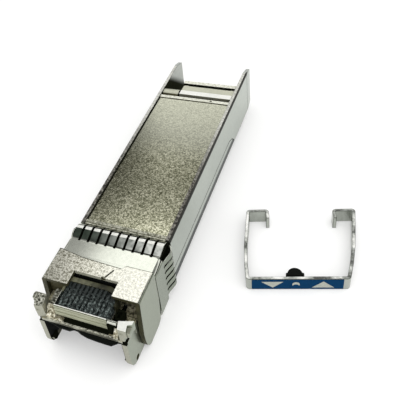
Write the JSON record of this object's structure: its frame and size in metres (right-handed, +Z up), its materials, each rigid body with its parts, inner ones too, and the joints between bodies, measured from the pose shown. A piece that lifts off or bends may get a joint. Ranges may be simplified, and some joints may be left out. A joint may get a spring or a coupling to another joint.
{
  "type": "optical transceiver module",
  "caption": "Small pluggable optical transceiver with a sprung shielding collar, notched nose, duplex port and board edge, with its loose labelled bail beside it.",
  "frame": {"origin": "on the plane of the flat underside, on the module's centre line, under the shoulder where the nose meets the caged body", "axes": "+Y from the optical port towards the host end, +X to the right seen from the port, +Z up from the underside"},
  "size_m": [0.0362, 0.0566, 0.0098],
  "materials": {
    "die_cast": "satin cast",
    "cast_cover": "rough cast",
    "collar_steel": "satin",
    "bright_steel": "bright",
    "dark_plastic": "matt",
    "ribbed_dark": "matt",
    "sleeve_ceramic": "polished",
    "can_metal": "turned",
    "board": "solder mask",
    "gold": "plated",
    "chip": "moulded",
    "flex": "film",
    "pad": "soft",
    "bail_metal": "satin",
    "label_blue": "printed film",
    "mark_pale": "print"
  },
  "bodies": {
    "module": {"base_housing": "die_cast", "bottom_tray": "die_cast", "closing_screws": "bright_steel", "top_cover": "cast_cover", "rear_bridge": "bright_steel", "rear_bar": "bright_steel", "rear_pad": "die_cast", "emi_collar": "collar_steel", "nose_shell": "die_cast", "port_frame": "die_cast", "port_lip": "dark_plastic", "insert_carrier": "bright_steel", "ribbed_insert": "ribbed_dark", "insert_plinth": "dark_plastic", "bay_baffle": "dark_plastic", "ground_clip_left": "bright_steel", "ground_clip_right": "bright_steel", "post_left": "die_cast", "post_right": "die_cast", "side_pin": "bright_steel", "port_receptacle": "dark_plastic", "sleeve_send": "sleeve_ceramic", "sleeve_receive": "sleeve_ceramic", "laser_can": "can_metal", "detector_can": "can_metal", "can_clamp": "die_cast", "flex_send": "flex", "flex_receive": "flex", "circuit_board": "board", "contacts_upper": "gold", "contacts_lower": "gold", "controller_chip": "chip", "thermal_pad": "pad", "driver_chip": "chip", "amplifier_chip": "chip", "memory_chip": "chip", "crystal_can": "can_metal", "passive_parts": "chip", "lever_pin": "bright_steel", "lever_spring": "bright_steel"},
    "release_lever": {"release_lever": "bright_steel"},
    "bail": {"bail_strip": "bail_metal", "bail_label": "label_blue", "bail_marks": "mark_pale", "bail_pad": "dark_plastic"}
  },
  "joints": [
    {"name": "lever_tilt", "type": "hinge", "parent": "module", "child": "release_lever", "pos_m": [0, -0.0026, 0.0004], "axis": [1, 0, 0], "range_deg": [0, 5.6], "stiffness_Nm_per_rad": 0.002, "springref_deg": -11.46, "deforming": ["lever_spring"]},
    {"name": "bail_lift", "type": "slide", "parent": "module", "child": "bail", "axis": [0, 0, 1], "range_m": [0, 0.03]}
  ]
}
